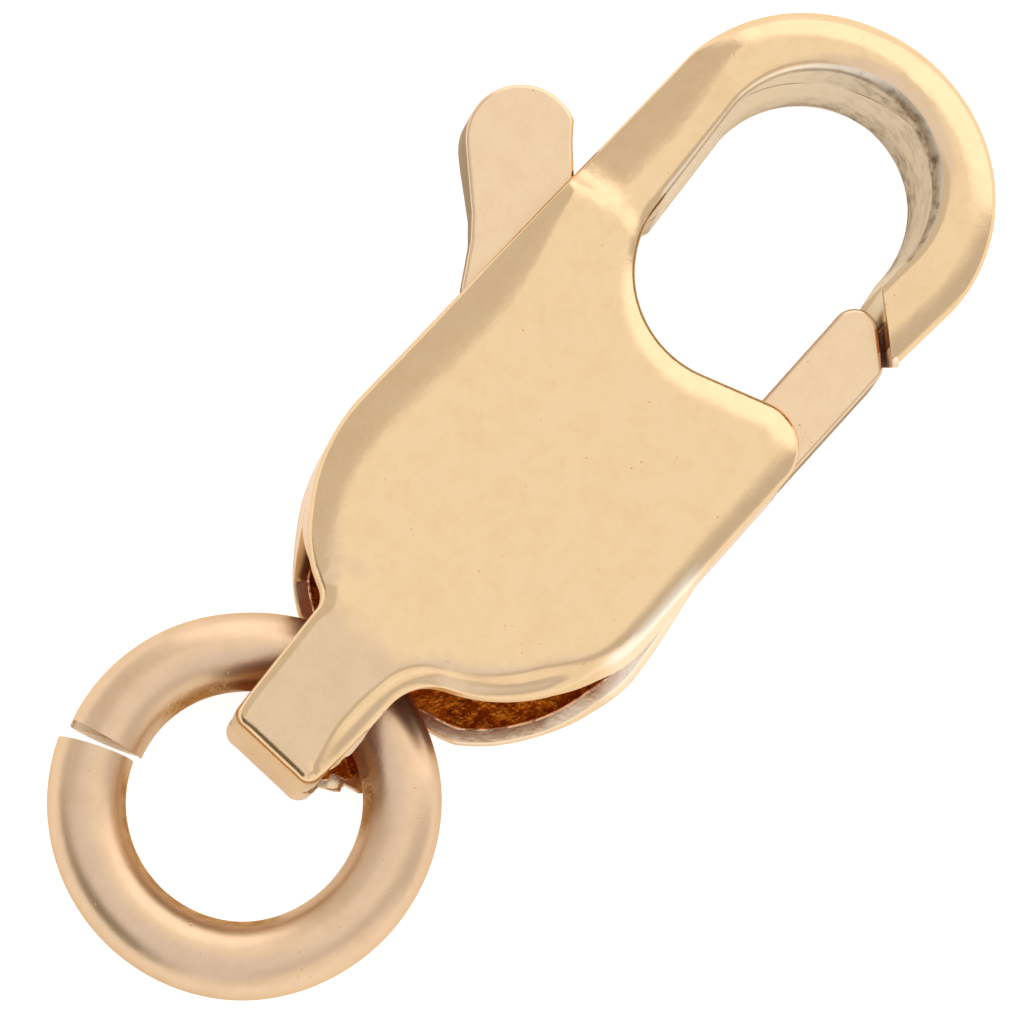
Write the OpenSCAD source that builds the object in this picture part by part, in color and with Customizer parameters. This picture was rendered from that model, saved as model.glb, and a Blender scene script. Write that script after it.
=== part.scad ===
// Lobster claw clasp with an open jump ring.
// The clasp lies on its back: +X points to the hook, +Y to the thumb tab, +Z up.
// The origin is where the lever's pivot axis meets the back face.

/* [Clasp] */
// Thickness of the clasp, from the back face to the front face
clasp_h = 2.3; // [2.2:0.05:2.3]
// Thickness of the folded sheet
sheet = 0.2; // [0.195:0.001:0.202]
// Half of the body's width
body_half = 2.36; // [2.35:0.01:2.37]
// From the pivot back to the centre of the body's round end
round_end_x = 1.85; // [1.83:0.01:1.86]

/* [Hook] */
// From the pivot to the centre of the bow
bow_x = 4.1; // [4.05:0.01:4.2]
// Half of the hook's width
bow_half = 2.33; // [2.31:0.01:2.36]
// From the centre of the bow to the hook's far end
bow_reach = 2.2; // [2.15:0.01:2.3]
// Radius of the eye inside the bow
eye_r = 1.455; // [1.42:0.005:1.48]
// Place of the inner corner of the slanted hook tip, from the pivot
tip_x = 3.73; // [3.7:0.01:3.8]
// Slope of the tip's end, from the clasp's length
tip_angle = 47; // [45:1:50]

/* [Eye bottom and shoulder] */
// Radius of the hollow curve at the eye's bottom
saddle_r = 1.39; // [1.36:0.01:1.42]
// From the pivot to the centre of that curve
saddle_x = 2.58; // [2.55:0.01:2.62]
// Sideways place of the centre of that curve
saddle_y = -0.1; // [-0.14:0.01:-0.06]
// Radius of the shoulder beside the gate
shoulder_r = 0.6; // [0.56:0.01:0.62]
// From the pivot to the shoulder's centre
shoulder_x = 1.04; // [1.0:0.01:1.06]
// Sideways place of the shoulder's centre
shoulder_y = -1.67; // [-1.7:0.01:-1.66]

/* [Tail strap] */
// Half of the strap's width
strap_half = 0.77; // [0.74:0.01:0.78]
// Radius of the neck's inside corners
neck_r = 0.3; // [0.27:0.01:0.32]
// From the pivot back to the folded end of the strap
strap_end = 6.03; // [6.0:0.01:6.15]
// Height of the folded end, outside
strap_end_h = 1.64; // [1.63:0.01:1.7]

/* [Lever] */
// Thickness of the lever
lever_h = 1.3; // [1.2:0.05:1.3]
// How far the lever opens, in degrees
lever_open = 35; // [10:1:35]
// Radius of the thumb tab's round end
thumb_r = 0.72; // [0.68:0.01:0.74]
// Radius of the gate's rounded end
gate_r = 0.3; // [0.2:0.01:0.3]
// Radius of the pivot pin
pin_r = 0.35; // [0.3:0.01:0.4]
// Play between the pin and the lever
pin_play = 0.05; // [0.02:0.01:0.08]

/* [Jump ring] */
// Radius of the ring, to the middle of its wire
ring_r = 2.0; // [1.95:0.01:2.05]
// Radius of the ring's wire
wire_r = 0.5; // [0.48:0.01:0.5]
// Width of the slit in the ring
slit_w = 0.15; // [0.1:0.01:0.25]
// Where the slit is, in degrees round from the hook's direction
slit_at = 111; // [100:1:130]
// Turn of the slit's faces against the ring's radius
slit_skew = 9; // [0:1:12]
// From the pivot back to the wire that passes through the strap
wire_x = 4.51; // [4.45:0.01:4.52]
// Height of that wire's middle above the back face
wire_z = 0.84; // [0.84:0.01:0.9]
// Sideways place of the ring's centre
ring_y = -0.08; // [-0.09:0.01:0.09]

/* [Hidden] */

mid = clasp_h / 2;
hollow_h = mid - sheet;
play = 0.07;
slot_h = lever_h / 2 + play;
round_fn = 64;
beyond = 3;

// Rounding of the outline's edges: width on the plate, depth down the wall
hook_edge = [0.5, 0.5];
bow_end_edge = [0.62, 0.45];
thumb_side_edge = [0.72, 0.43];
tail_edge = [0.2, 0.3];
neck_edge = [0.16, 0.3];
gate_side_edge = [0.28, 0.3];
saddle_edge = [0.15, 0.2];
eye_edge = [0.12, 0.15];
round_steps = 5;
least_edge = 0.03;

// How far the back half stands out past the front half, at four places
neck_flare = 0.18;
gate_side_flare = 0.1;
eye_flare = 0.06;
tip_flare = -0.1;

// The slots along the seam: half of their height, and where each one starts
window_h = 0.85;
window_full_x = -3.9;
thumb_window_x = -3.5;
gate_window_x = -0.95;

// Strap: how far its faces lie under the plates, and the taper of its half width
strap_step = 0.03;
strap_from = -3.6;
strap_flare = 0.03;
strap_taper = 0.05;
fold_r = 0.28;
fold_inner_r = 0.08;

// Wall that closes the inner half of the hook's open end
tip_wall_t = 0.12;
tip_wall_w = 0.52;
tip_stub = 1.2;

// Where the eye's bottom curve meets the straight inner edge and the shoulder
bow_c = [bow_x, 0];
limb_top = [bow_x, eye_r];
saddle = [saddle_x, saddle_y];
shoulder = [shoulder_x, shoulder_y];
limb_run = limb_top - saddle;
saddle_from = atan2(limb_run.y, limb_run.x) + acos(saddle_r / norm(limb_run));
cross_run = shoulder - saddle;
saddle_to = atan2(cross_run.y, cross_run.x) + 360 - acos((saddle_r + shoulder_r) / norm(cross_run));

// Where the body's round end meets the neck's inside corners
round_c = [-round_end_x, 0];
neck_y = strap_half + neck_r;
neck_x = -round_end_x - sqrt(pow(body_half + neck_r, 2) - pow(neck_y, 2));
neck_from = 180 - asin(neck_y / (body_half + neck_r));

// Slope of the ring, whose far side lies on the surface
ring_slope = asin((wire_z - wire_r) / (2 * ring_r));

// The lever's outline, counterclockwise, each row x and y from the pivot
thumb_c = [1.93, 3.18];
stem_hook_side = [[2.41, 2.66], [2.09, 2.34], [1.5, 1.65], [1.05, 0.95], [0.8, 0.3]];
stem_tail_side = [[0.84, 2.96], [0.56, 2.72], [0.05, 2.4], [-0.2, 2.15], [-0.45, 1.5], [-0.55, 0.6]];
heel = [[-0.55, -0.55], [0.3, -1.4], [1.0, -1.95], [1.15, -2.26]];
gate_end_c = [3.08, -1.61];
gate_corner_c = [2.85, -2.08];
gate_corner_r = 0.15;
gate_root = [[1.45, -1.35], [0.8, -1.18], [0.5, -0.75]];
boss_r = 0.8;

// The stretches of the lever that cross the clasp's walls
stem_part = [[-0.3, 1.5], [1.2, 1.3], [2.15, 2.42], [2.3, 2.6], [1.4, 3.6], [0.6, 2.75], [-0.15, 2.25]];
gate_part = [[0.9, -2.0], [1.15, -2.26], [2.8, -2.23], [2.95, -2.17],
             [3.32, -1.77], [3.1, -1.31], [1.5, -1.33], [0.6, -0.8]];

function mix(a, b, t) = a + (b - a) * t;

function arc(c, rx, ry, from, to, n) =
    [for (i = [0:n]) let (a = mix(from, to, i / n)) [c.x + rx * cos(a), c.y + ry * sin(a)]];

function line_to(a, b, n) = [for (i = [1:n - 1]) mix(a, b, i / n)];

// Adds to each point of a stretch its edge's width and depth, and the flare of the back half
function dressed(points, edge_from, edge_to, flare_from = 0, flare_to = 0) =
    let (last = max(1, len(points) - 1))
    [for (i = [0:len(points) - 1])
        let (edge = mix(edge_from, edge_to, i / last))
        [points[i].x, points[i].y, edge[0], edge[1], mix(flare_from, flare_to, i / last)]];

// The whole clasp seen from above, counterclockwise
thumb_side_arc = arc(round_c, body_half, body_half, 90, 135, 8);
thumb_end_arc = arc(round_c, body_half, body_half, 135, neck_from, 4);
round_gate_side = arc(round_c, body_half, body_half, 360 - neck_from, 270, 11);
neck_thumb_side = arc([neck_x, neck_y], neck_r, neck_r, neck_from - 180, -90, 4);
neck_gate_side = arc([neck_x, -neck_y], neck_r, neck_r, 90, 180 - neck_from, 4);
shoulder_low = [shoulder.x, shoulder.y - shoulder_r];
saddle_top = saddle + saddle_r * [cos(saddle_from), sin(saddle_from)];
outline = concat(
    dressed([[2.2, -2.2], [3.2, -2.28]], hook_edge, hook_edge, tip_flare, tip_flare),
    dressed(arc(bow_c, bow_reach, bow_half, -90, -45, 6), hook_edge, hook_edge, tip_flare, 0),
    dressed(arc(bow_c, bow_reach, bow_half, -37.5, 90, 17), hook_edge, bow_end_edge),
    dressed(line_to([bow_x, bow_half], [-round_end_x, body_half], 8), bow_end_edge, thumb_side_edge),
    dressed(thumb_side_arc, thumb_side_edge, mix(thumb_side_edge, tail_edge, 0.7)),
    dressed([for (i = [1:4]) thumb_end_arc[i]],
            mix(thumb_side_edge, tail_edge, 0.75), tail_edge, 0.04, neck_flare),
    dressed(neck_thumb_side, tail_edge, neck_edge, neck_flare, 0),
    dressed(neck_gate_side, neck_edge, tail_edge, 0, neck_flare),
    dressed(round_gate_side, tail_edge, gate_side_edge, neck_flare, gate_side_flare),
    dressed(line_to(round_gate_side[11], shoulder_low, 4),
            gate_side_edge, gate_side_edge, gate_side_flare, 0),
    dressed(arc(shoulder, shoulder_r, shoulder_r, -90, saddle_to - 180, 9), gate_side_edge, saddle_edge),
    dressed(arc(saddle, saddle_r, saddle_r, saddle_to, saddle_from, 15), saddle_edge, eye_edge),
    dressed(line_to(saddle_top, limb_top, 4), eye_edge, eye_edge, eye_flare, eye_flare),
    dressed(arc(bow_c, eye_r, eye_r, 90, -90, 24), eye_edge, eye_edge, eye_flare, eye_flare),
    dressed([[2.9, -1.47]], eye_edge, eye_edge, eye_flare, eye_flare)
);
count = len(outline);

function plan(i) = let (p = outline[(i + count) % count]) [p[0], p[1]];

function inward(i) = let (t = plan(i + 1) - plan(i - 1)) [-t.y, t.x] / norm(t);

// One level of the rounded plate: side is 1 for the front half and -1 for the back half
function level(side, step, inset) =
    let (turn = 90 * step / round_steps)
    [for (i = [0:count - 1])
        let (
            width = max(outline[i][2] - inset, least_edge),
            depth = max(outline[i][3] - inset, least_edge),
            flare = side < 0 ? outline[i][4] : 0,
            q = plan(i) + inward(i) * (inset + width * (1 - cos(turn)) - flare)
        )
        [q.x, q.y, side * (mid - inset - depth + depth * sin(turn))]];

// The clasp's outline with rounded edges, or the hollow inside it when inset is the sheet's thickness
module rounded_plate(inset) {
    levels = concat(
        [for (k = [round_steps:-1:0]) level(-1, k, inset)],
        [for (k = [0:round_steps]) level(1, k, inset)]
    );
    rows = len(levels);
    points = [for (row = levels) each row];
    sides = [for (r = [0:rows - 2]) for (i = [0:count - 1])
        let (j = (i + 1) % count)
        each [[r * count + i, (r + 1) * count + i, (r + 1) * count + j],
              [r * count + i, (r + 1) * count + j, r * count + j]]];
    bottom = [for (i = [0:count - 1]) i];
    top = [for (i = [count - 1:-1:0]) (rows - 1) * count + i];
    polyhedron(points = points, faces = concat([bottom, top], sides), convexity = 6);
}

// Side view of the strap, from the body to the fold, drawn inset from the outside
function strap_side(inset) =
    let (
        r = inset > 0 ? fold_inner_r : fold_r,
        flat_z = mid - inset - strap_step,
        fold_c = [-strap_end + inset + r, strap_end_h / 2 - inset - r]
    )
    concat([[strap_from, flat_z], [neck_x - 2 * strap_step, flat_z]], arc(fold_c, r, r, 90, 180, 5));

module strap_profile(inset) {
    upper = strap_side(inset);
    lower = [for (i = [len(upper) - 1:-1:0]) [upper[i].x, -upper[i].y]];
    polygon(concat(upper, lower));
}

module along_y(from, to) {
    translate([0, to, 0]) rotate([90, 0, 0]) linear_extrude(to - from) children();
}

module strap() {
    wide = strap_half + strap_flare;
    narrow = strap_half - strap_taper;
    intersection() {
        along_y(-2 * wide, 2 * wide) strap_profile(0);
        linear_extrude(2 * clasp_h, center = true)
            polygon([[-beyond, -wide], [-beyond, wide], [-strap_end - 1, narrow], [-strap_end - 1, -narrow]]);
    }
}

// Open loop under the strap and the two side windows, which narrow to a point along the seam
module loop_and_windows() {
    inner_h = window_h - 2 * strap_step;
    full_x = window_full_x - play;
    along_y(-beyond, beyond)
        polygon([[thumb_window_x, 0], [window_full_x, window_h], [neck_x, window_h],
                 [neck_x, -window_h], [window_full_x, -window_h]]);
    along_y(-beyond, 0)
        polygon([[gate_window_x, 0], [-2, inner_h / 2], [-beyond, inner_h - strap_taper], [full_x, inner_h],
                 [full_x, -inner_h], [-beyond, strap_taper - inner_h], [-2, -inner_h / 2]]);
    along_y(-beyond, beyond)
        intersection() {
            strap_profile(sheet);
            translate([-strap_end, -mid]) square([strap_end + neck_x + 2 * sheet, clasp_h]);
        }
}

// Puts its children in the frame of the slanted tip: x runs along the end, y into the hook
module at_tip() {
    translate([tip_x, -eye_r, 0]) rotate([0, 0, 180 + tip_angle]) children();
}

// Everything between the slanted tip and the body, which the gate closes
module past_tip() {
    at_tip() translate([-1, -tip_stub, -mid]) cube([4, tip_stub, clasp_h]);
}

module tip_wall() {
    wall_h = hollow_h + strap_step;
    at_tip() translate([tip_wall_t / 2, 0, -wall_h]) cube([tip_wall_w, tip_wall_t, 2 * wall_h]);
}

// Room that one stretch of the lever needs over its whole travel
module swept(points) {
    stops = 6;
    for (i = [0:stops - 1])
        hull()
            for (turn = [i, i + 1] * lever_open / stops)
                rotate([0, 0, turn])
                    linear_extrude(2 * slot_h, center = true) offset(delta = play) polygon(points);
}

module clasp_shell() {
    color("goldenrod")
        translate([0, 0, mid])
            union() {
                difference() {
                    union() {
                        rounded_plate(0);
                        strap();
                    }
                    rounded_plate(sheet);
                    loop_and_windows();
                    past_tip();
                    swept(stem_part);
                    swept(gate_part);
                }
                tip_wall();
            }
}

module lever() {
    gate_end = arc(gate_end_c, gate_r, gate_r, tip_angle - 90, 90, 8);
    gate_corner = arc(gate_corner_c, gate_corner_r, gate_corner_r, -90, tip_angle - 90, 4);
    color("burlywood")
        translate([0, 0, mid])
            difference() {
                union() {
                    linear_extrude(lever_h, center = true)
                        polygon(concat(heel, gate_corner, gate_end, gate_root,
                                       [for (i = [len(stem_hook_side) - 1:-1:0]) stem_hook_side[i]],
                                       arc(thumb_c, thumb_r, thumb_r, -25, 137, 24), stem_tail_side));
                    cylinder(h = lever_h, r = boss_r, center = true, $fn = round_fn);
                }
                cylinder(h = clasp_h, r = pin_r + pin_play, center = true, $fn = round_fn);
            }
}

module pivot_pin() {
    color("tan")
        translate([0, 0, mid])
            cylinder(h = 2 * (hollow_h - strap_step), r = pin_r, center = true, $fn = round_fn);
}

module jump_ring() {
    color("gold")
        translate([-wire_x, ring_y, wire_z])
            rotate([0, -ring_slope, 0])
                translate([-ring_r, 0, 0])
                    difference() {
                        rotate_extrude($fn = 2 * round_fn)
                            translate([ring_r, 0])
                                circle(r = wire_r, $fn = round_fn);
                        rotate([0, 0, slit_at])
                            translate([ring_r, 0, 0])
                                rotate([0, 0, slit_skew])
                                    cube([4 * wire_r, slit_w, 4 * wire_r], center = true);
                    }
}

clasp_shell();
lever();
pivot_pin();
jump_ring();
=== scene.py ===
"""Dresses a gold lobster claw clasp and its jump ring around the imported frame.

Lengths in the classes are millimetres in the clasp's own frame: +X points to the hook,
+Y to the thumb tab and +Z up from the surface, and the origin is where the lever's pivot
axis meets the back face.
"""

import logging
import math
from collections.abc import Callable, Sequence
from dataclasses import dataclass
from enum import Enum
from typing import Union

import bmesh
import bpy
from mathutils import Matrix, Vector


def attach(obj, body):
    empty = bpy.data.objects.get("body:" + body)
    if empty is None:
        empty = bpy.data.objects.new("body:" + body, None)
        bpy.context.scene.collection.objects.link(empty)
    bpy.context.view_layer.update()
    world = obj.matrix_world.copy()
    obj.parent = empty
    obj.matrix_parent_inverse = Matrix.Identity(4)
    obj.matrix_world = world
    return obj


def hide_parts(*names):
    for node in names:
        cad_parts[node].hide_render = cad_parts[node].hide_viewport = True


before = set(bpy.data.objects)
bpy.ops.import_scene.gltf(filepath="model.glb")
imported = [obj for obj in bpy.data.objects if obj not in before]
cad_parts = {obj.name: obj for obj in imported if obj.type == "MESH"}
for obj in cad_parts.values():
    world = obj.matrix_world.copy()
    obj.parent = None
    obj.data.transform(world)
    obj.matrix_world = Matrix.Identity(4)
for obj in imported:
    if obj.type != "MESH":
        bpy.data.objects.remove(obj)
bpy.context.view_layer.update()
log = logging.getLogger("clasp")

MM = 0.001
ZONES = "zones"
CAP_MARK = 1
INNER_MARK = 2
FINE = 1e-8
FLOAT = "NodeSocketFloat"
VECTOR = "NodeSocketVector"
WAVE_SCALE = 3600.0
GRAIN_SCALE = 9000.0
PIT_CHANCE_SCALE = 2600.0
CLOUD_SCALE = 3200.0
BLOTCH_SCALE = 5000.0
SHELL_DENTS = (
    (-3.79, 0.89, 0.34, -0.020),
    (-4.0, 0.9, 0.2, 0.010),
    (-3.88, 1.09, 0.2, 0.010),
    (-4.52, -0.17, 0.36, -0.018),
    (-4.47, 0.73, 0.3, -0.014),
    (-4.4, 0.37, 0.3, 0.008),
    (0.6, 1.2, 0.5, 0.008),
    (-2.6, -1.1, 0.6, -0.008),
)

Point = tuple[float, float]
Zone = tuple[float, float, float]
Feed = Union[bpy.types.NodeSocket, float, tuple[float, ...]]


class Side(Enum):
    """Which half of the folded sheet is meant."""

    FRONT = 1
    BACK = -1


# Small sums


def mix(a: float, b: float, t: float) -> float:
    """Gives the value that lies the share t of the way from a to b."""
    return a + (b - a) * t


def smooth(low: float, high: float, value: float) -> float:
    """Gives a soft step.

    Args:
        low: Value at which the step starts.
        high: Value at which the step ends.
        value: Value to place on the step.

    Returns:
        0 before the step, 1 after it, and a soft curve between.
    """
    t = min(max((value - low) / (high - low), 0.0), 1.0)
    return t * t * (3 - 2 * t)


def table(stops: Sequence[Point], value: float) -> float:
    """Reads a value from stops in rising order, straight between them.

    Args:
        stops: Pairs of place and value.
        value: Place to read at.

    Returns:
        The value there, and the nearest stop's value outside them.
    """
    if value <= stops[0][0]:
        return stops[0][1]
    for (x0, y0), (x1, y1) in zip(stops, stops[1:]):
        if value <= x1:
            return mix(y0, y1, (value - x0) / (x1 - x0))
    return stops[-1][1]


def arc(centre: Point, rx: float, ry: float, start: float, end: float, count: int) -> list[Point]:
    """Lays points on an arc.

    Args:
        centre: Centre of the arc.
        rx: Radius along X.
        ry: Radius along Y.
        start: First angle in degrees.
        end: Last angle in degrees.
        count: Number of steps.

    Returns:
        count + 1 points.
    """
    angles = [math.radians(mix(start, end, i / count)) for i in range(count + 1)]
    return [(centre[0] + rx * math.cos(a), centre[1] + ry * math.sin(a)) for a in angles]


def line(a: Point, b: Point, count: int) -> list[Point]:
    """Lays count - 1 points evenly between a and b, without the ends."""
    return [(mix(a[0], b[0], i / count), mix(a[1], b[1], i / count)) for i in range(1, count)]


def inward(points: list[Point], i: int) -> Point:
    """Gives the unit direction to the left of a counterclockwise outline at one point."""
    ax, ay = points[i - 1]
    bx, by = points[(i + 1) % len(points)]
    run = math.hypot(bx - ax, by - ay)
    return (ay - by) / run, (bx - ax) / run


# The bench: operators as a modeller uses them


def deselect_everything() -> None:
    """Leaves edit mode and deselects every object."""
    if bpy.context.object and bpy.context.object.mode != "OBJECT":
        bpy.ops.object.mode_set(mode="OBJECT")
    bpy.ops.object.select_all(action="DESELECT")


def take_up(obj: bpy.types.Object) -> None:
    """Selects one object alone and makes it the active one."""
    deselect_everything()
    obj.select_set(True)
    bpy.context.view_layer.objects.active = obj


def select_faces(obj: bpy.types.Object, wanted: Callable[[bmesh.types.BMFace], bool]) -> None:
    """Selects faces in edit mode.

    Args:
        obj: Object in edit mode.
        wanted: Function that says for a face whether it is selected.
    """
    shape = bmesh.from_edit_mesh(obj.data)
    for part in (shape.verts, shape.edges, shape.faces):
        for item in part:
            item.select_set(False)
    for face in shape.faces:
        if wanted(face):
            face.select_set(True)
    bmesh.update_edit_mesh(obj.data)


def point_normals_out(obj: bpy.types.Object) -> None:
    """Merges doubles and turns every face outwards."""
    take_up(obj)
    bpy.ops.object.mode_set(mode="EDIT")
    bpy.ops.mesh.select_all(action="SELECT")
    bpy.ops.mesh.remove_doubles(threshold=0.0005 * MM)
    bpy.ops.mesh.normals_make_consistent(inside=False)
    bpy.ops.object.mode_set(mode="OBJECT")


def shade(obj: bpy.types.Object, degrees: float, weighted: bool = True) -> None:
    """Shades an object smooth up to an angle.

    Args:
        obj: Object to shade.
        degrees: Edges sharper than this stay crisp.
        weighted: Whether large faces keep their own direction.
    """
    take_up(obj)
    bpy.ops.object.shade_smooth_by_angle(angle=math.radians(degrees))
    if weighted:
        bpy.ops.object.modifier_add(type="WEIGHTED_NORMAL")
        obj.modifiers[-1].keep_sharp = True
        bpy.ops.object.modifier_apply(modifier=obj.modifiers[-1].name)


def join(parts: list[bpy.types.Object], name: str) -> bpy.types.Object:
    """Joins parts into the first one under a new name.

    Args:
        parts: Objects to join.
        name: Name of the result.

    Returns:
        The joined object.
    """
    take_up(parts[0])
    for part in parts[1:]:
        part.select_set(True)
    if len(parts) > 1:
        bpy.ops.object.join()
    parts[0].name = parts[0].data.name = name
    return parts[0]


class Loft:
    """A skin drawn up from one closed ring of points, level by level, by extruding its edge."""

    def __init__(self, name: str, first: list[Vector], zone: Zone) -> None:
        """Lays the first ring.

        Args:
            name: Name of the object.
            first: Points of the ring in millimetres.
            zone: Finish of its surface, each 0 to 1: inside; unplated metal, also used as painted sheen;
                grime and rubbing, also used as painted shade.
        """
        deselect_everything()
        bpy.ops.mesh.primitive_circle_add(vertices=len(first), radius=MM, fill_type="NOTHING")
        self.obj = bpy.context.object
        self.obj.name = self.obj.data.name = name
        self.ring = list(range(len(first)))
        self.zones = [zone] * len(first)
        self.place(first)

    def place(self, points: list[Vector]) -> None:
        """Moves the open ring's vertices to points given in millimetres."""
        for index, point in zip(self.ring, points):
            self.obj.data.vertices[index].co = point * MM

    def select_ring(self) -> None:
        """Selects the open ring's edges and goes into edit mode."""
        take_up(self.obj)
        mesh = self.obj.data
        bpy.context.tool_settings.mesh_select_mode = (False, True, False)
        for part in (mesh.vertices, mesh.edges, mesh.polygons):
            part.foreach_set("select", [False] * len(part))
        pairs = {frozenset(p) for p in zip(self.ring, self.ring[1:] + self.ring[:1])}
        for edge in mesh.edges:
            if frozenset(edge.vertices) in pairs:
                edge.select = True
        bpy.ops.object.mode_set(mode="EDIT")

    def raise_to(self, points: list[Vector], zones: list[Zone]) -> None:
        """Extrudes the open ring to a new level.

        Args:
            points: Places of the new ring in millimetres.
            zones: Finish at each of them.
        """
        before = len(self.obj.data.vertices)
        self.select_ring()
        bpy.ops.mesh.extrude_edges_move()
        bpy.ops.object.mode_set(mode="OBJECT")
        above = {}
        for edge in self.obj.data.edges:
            low, high = sorted(edge.vertices)
            if low < before <= high:
                above[low] = high
        self.ring = [above[index] for index in self.ring]
        self.zones += [None] * (len(self.obj.data.vertices) - before)
        for index, zone in zip(self.ring, zones):
            self.zones[index] = zone
        self.place(points)

    def close(self) -> None:
        """Fills the open ring with one face."""
        self.select_ring()
        bpy.ops.mesh.edge_face_add()
        bpy.ops.object.mode_set(mode="OBJECT")

    def mark_ends(self, first: int, last: int) -> None:
        """Gives the first and the last face a mark as their material index."""
        faces = self.obj.data.polygons
        faces.foreach_set("material_index", [0] * len(faces))
        faces[0].material_index = first
        faces[len(faces) - 1].material_index = last

    def keep_zones(self) -> None:
        """Stores the finish at each face corner as an attribute that the materials read."""
        mesh = self.obj.data
        store = mesh.attributes.new(ZONES, "FLOAT_COLOR", "CORNER")
        for corner in mesh.loops:
            store.data[corner.index].color = (*self.zones[corner.vertex_index], 1.0)


# Node groups and finishes


class Nodes:
    """Places and joins shader nodes in one tree."""

    def __init__(self, tree: bpy.types.NodeTree) -> None:
        """Keeps the tree and clears it."""
        self.tree = tree
        self.tree.nodes.clear()

    def add(self, kind: str, **values: object) -> bpy.types.Node:
        """Adds a node.

        Args:
            kind: Blender's name of the node type.
            values: Node settings, and socket values or links for names that are sockets,
                with _ standing for a space.

        Returns:
            The node.
        """
        node = self.tree.nodes.new(kind)
        sockets = {}
        for name, value in values.items():
            if hasattr(node, name):
                setattr(node, name, value)
            else:
                sockets[name] = value
        for name, value in sockets.items():
            socket = node.inputs[int(name[1:])] if name[1:].isdigit() else node.inputs[name.replace("_", " ")]
            if isinstance(value, bpy.types.NodeSocket):
                self.tree.links.new(value, socket)
            else:
                socket.default_value = value
        return node

    def math(self, operation: str, a: Feed, b: Feed = 0.0, c: Feed = 0.0) -> bpy.types.NodeSocket:
        """Adds a Math node and returns its result."""
        return self.add("ShaderNodeMath", operation=operation, i0=a, i1=b, i2=c).outputs[0]

    def blend(self, share: Feed, a: Feed, b: Feed) -> bpy.types.NodeSocket:
        """Adds a colour mix and returns its result.

        Args:
            share: Share of b.
            a: First colour.
            b: Second colour.

        Returns:
            The mixed colour.
        """
        node = self.add("ShaderNodeMix", data_type="RGBA")
        for index, value in ((0, share), (6, a), (7, b)):
            if isinstance(value, bpy.types.NodeSocket):
                self.tree.links.new(value, node.inputs[index])
            else:
                node.inputs[index].default_value = value
        return node.outputs[2]

    def ramp(self, value: Feed, low: float, high: float) -> bpy.types.NodeSocket:
        """Adds a soft step from low to high and returns its result."""
        return self.add(
            "ShaderNodeMapRange", interpolation_type="SMOOTHSTEP", i0=value, i1=low, i2=high
        ).outputs[0]

    def noise(
        self, place: Feed, scale: float, detail: float, roughness: float = 0.5
    ) -> bpy.types.NodeSocket:
        """Adds a noise pattern.

        Args:
            place: Coordinates.
            scale: Spots per metre.
            detail: Number of finer layers.
            roughness: Strength of the finer layers.

        Returns:
            The noise's value.
        """
        node = self.add("ShaderNodeTexNoise", Vector=place, Scale=scale, Detail=detail, Roughness=roughness)
        return node.outputs[0]


def new_group(name: str, inputs: dict[str, tuple[str, float]], outputs: dict[str, str]) -> bpy.types.NodeTree:
    """Makes an empty shader node group.

    Args:
        name: Name of the group.
        inputs: Name of each input with its socket type and first value.
        outputs: Name of each output with its socket type.

    Returns:
        The group.
    """
    tree = bpy.data.node_groups.new(name, "ShaderNodeTree")
    for label, (kind, value) in inputs.items():
        socket = tree.interface.new_socket(label, in_out="INPUT", socket_type=kind)
        if kind == FLOAT:
            socket.default_value = value
    for label, kind in outputs.items():
        tree.interface.new_socket(label, in_out="OUTPUT", socket_type=kind)
    return tree


def hammered_skin_group() -> bpy.types.NodeTree:
    """Builds the uneven skin that all the layered metal shares.

    Returns:
        A group that puts out a height in metres, a mask of pits and a cloudy tone.
    """
    tree = new_group(
        "plated_skin",
        {
            "Place": (VECTOR, 0.0),
            "Wave height": (FLOAT, 0.0),
            "Grain height": (FLOAT, 0.0),
            "Pit depth": (FLOAT, 0.0),
            "Pit scale": (FLOAT, 1500.0),
        },
        {"Height": FLOAT, "Pits": FLOAT, "Cloud": FLOAT},
    )
    n = Nodes(tree)
    given = n.add("NodeGroupInput")
    place = given.outputs["Place"]
    wave = n.noise(place, WAVE_SCALE, 4.0, 0.6)
    grain = n.noise(place, GRAIN_SCALE, 3.0, 0.6)
    cells = n.add("ShaderNodeTexVoronoi", Vector=place, Scale=given.outputs["Pit scale"], Randomness=1.0)
    spot = n.ramp(cells.outputs["Distance"], 0.14, 0.05)
    chance = n.ramp(n.noise(place, PIT_CHANCE_SCALE, 1.0), 0.54, 0.64)
    pits = n.math("MULTIPLY", spot, chance)
    height = n.math("MULTIPLY", wave, given.outputs["Wave height"])
    height = n.math("MULTIPLY_ADD", grain, given.outputs["Grain height"], height)
    height = n.math("MULTIPLY_ADD", pits, n.math("MULTIPLY", given.outputs["Pit depth"], -1.0), height)
    cloud = n.noise(place, CLOUD_SCALE, 5.0, 0.72)
    n.add("NodeGroupOutput", Height=height, Pits=pits, Cloud=cloud)
    return tree


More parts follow.
